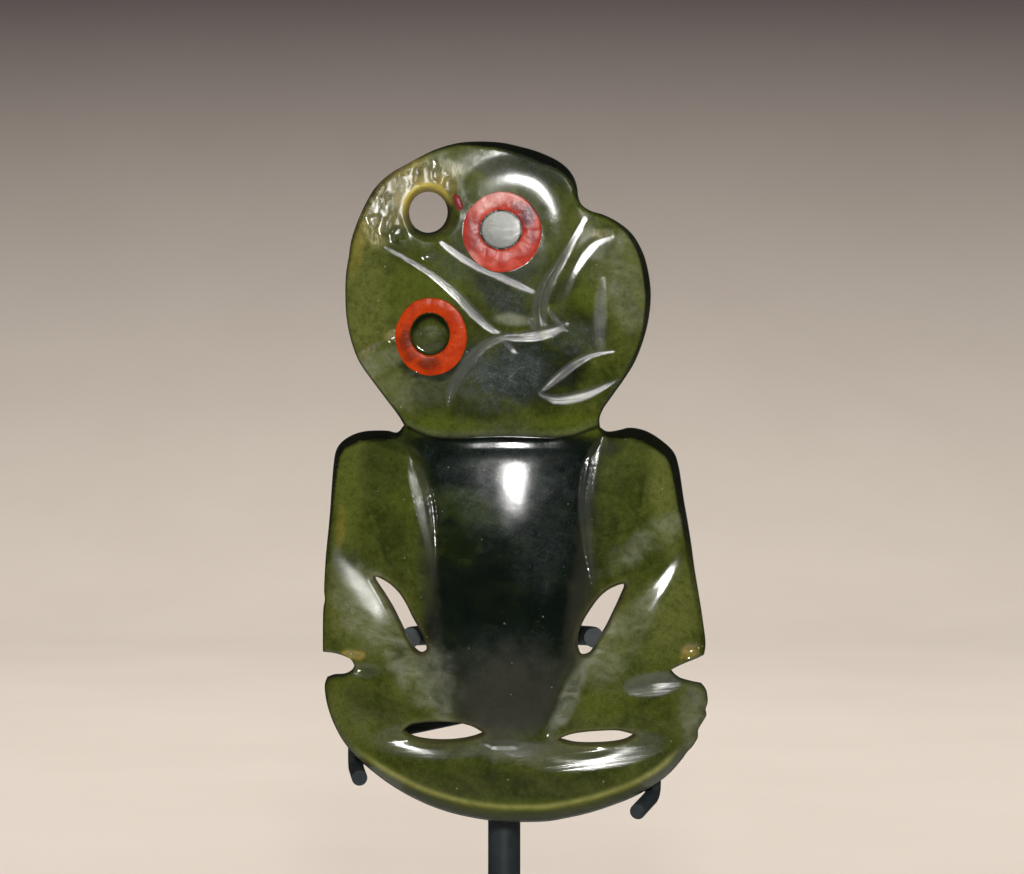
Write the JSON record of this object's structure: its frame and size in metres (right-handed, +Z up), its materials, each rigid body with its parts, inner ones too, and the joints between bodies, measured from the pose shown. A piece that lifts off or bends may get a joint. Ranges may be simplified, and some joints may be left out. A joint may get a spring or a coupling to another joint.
{
  "type": "hei tiki pendant on a display stand",
  "caption": "Carved greenstone figure pendant with a tilted head, wax-inlaid eye rings and a cord hole, held on a plain dark metal display stand.",
  "frame": {"origin": "middle of the stand base's underside", "axes": "+Z up, the figure faces -Y, +X to its right as seen from the front"},
  "size_m": [0.072, 0.048, 0.148],
  "materials": {
    "greenstone": "polished dark green nephrite, translucent and lighter where thin",
    "upper_wax": "salmon-red sealing wax, satin",
    "lower_wax": "orange-red sealing wax, finely pitted",
    "stand_paint": "dark slate paint, satin"
  },
  "bodies": {
    "root": {"stone_figure": "greenstone", "eye_ring_upper": "upper_wax", "eye_ring_lower": "lower_wax", "stand_armature": "stand_paint", "stand_base": "stand_paint"}
  },
  "joints": []
}
